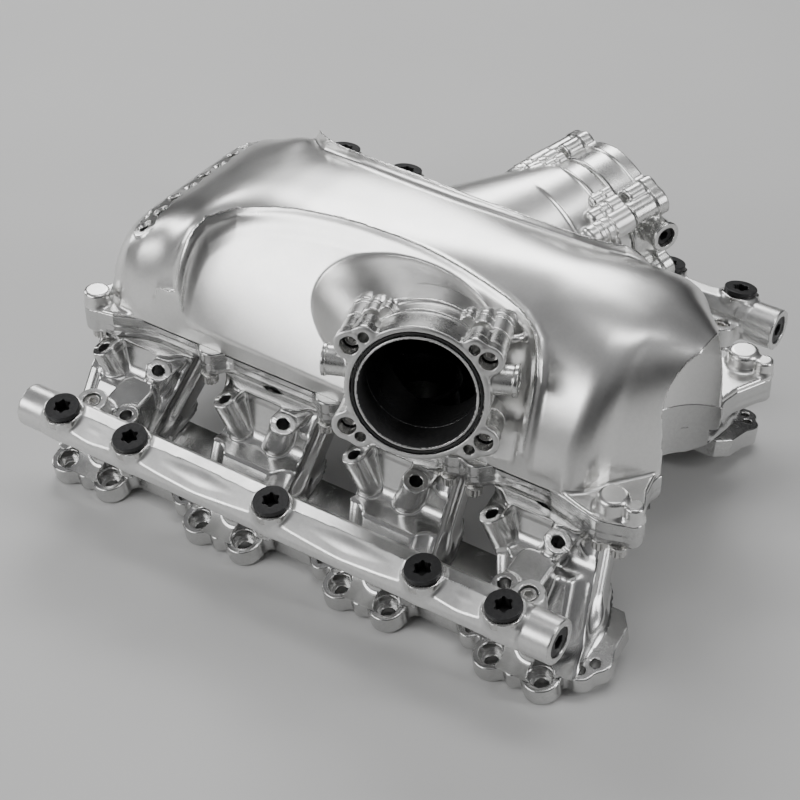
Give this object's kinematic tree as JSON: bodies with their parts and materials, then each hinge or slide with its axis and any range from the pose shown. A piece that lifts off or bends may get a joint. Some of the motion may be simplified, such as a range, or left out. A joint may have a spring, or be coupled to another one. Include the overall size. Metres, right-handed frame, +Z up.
{
  "type": "intake manifold",
  "caption": "V8 intake manifold: sculpted metal plenum with a throttle neck on each side, runners to head flanges, and a fuel rail over each bank.",
  "frame": {"origin": "centre of the whole manifold's box in plan, on the plane through its lowest edges, which are the outboard lower edges of the two head flanges", "axes": "+X along the engine towards the end that the throttle necks turn to, +Y towards the left bank, +Z up"},
  "size_m": [0.4484, 0.3846, 0.2083],
  "materials": {
    "lid_metal": "satin polished, fine brushing",
    "base_metal": "machined satin",
    "runner_metal": "satin polished",
    "flange_metal": "machined, bright edges",
    "rail_metal": "fine bead blasted",
    "adapter_metal": "machined satin face",
    "stack_metal": "dark anodised",
    "black_plug": "black anodised",
    "bolt_steel": "polished stainless",
    "injector_body": "satin",
    "seal_rubber": "smooth black rubber"
  },
  "bodies": {
    "root": {"plenum_lid": "lid_metal", "plenum_base": "base_metal", "plenum_seal": "seal_rubber", "runner_right_1": "runner_metal", "runner_right_2": "runner_metal", "runner_right_3": "runner_metal", "runner_right_4": "runner_metal", "runner_left_1": "runner_metal", "runner_left_2": "runner_metal", "runner_left_3": "runner_metal", "runner_left_4": "runner_metal", "head_flange_right": "flange_metal", "head_flange_left": "flange_metal", "port_seals_right": "seal_rubber", "port_seals_left": "seal_rubber", "velocity_stacks_right": "stack_metal", "velocity_stacks_left": "stack_metal", "fuel_rail_right": "rail_metal", "fuel_rail_left": "rail_metal", "rail_plugs_right": "black_plug", "rail_plugs_left": "black_plug", "rail_end_plugs_right": "black_plug", "rail_end_plugs_left": "black_plug", "rail_screws_right": "bolt_steel", "rail_screws_left": "bolt_steel", "injectors_right": "injector_body", "injectors_left": "injector_body", "injector_seals_right": "seal_rubber", "injector_seals_left": "seal_rubber", "throttle_adapter_right": "adapter_metal", "throttle_adapter_left": "adapter_metal", "adapter_bolts_right": "bolt_steel", "adapter_bolts_left": "bolt_steel", "adapter_seal_right": "seal_rubber", "adapter_seal_left": "seal_rubber", "throttle_seal_right": "seal_rubber", "throttle_seal_left": "seal_rubber", "stub_plugs_right": "black_plug", "stub_plugs_left": "black_plug", "base_bolts": "bolt_steel", "base_dowels": "bolt_steel"}
  },
  "joints": []
}
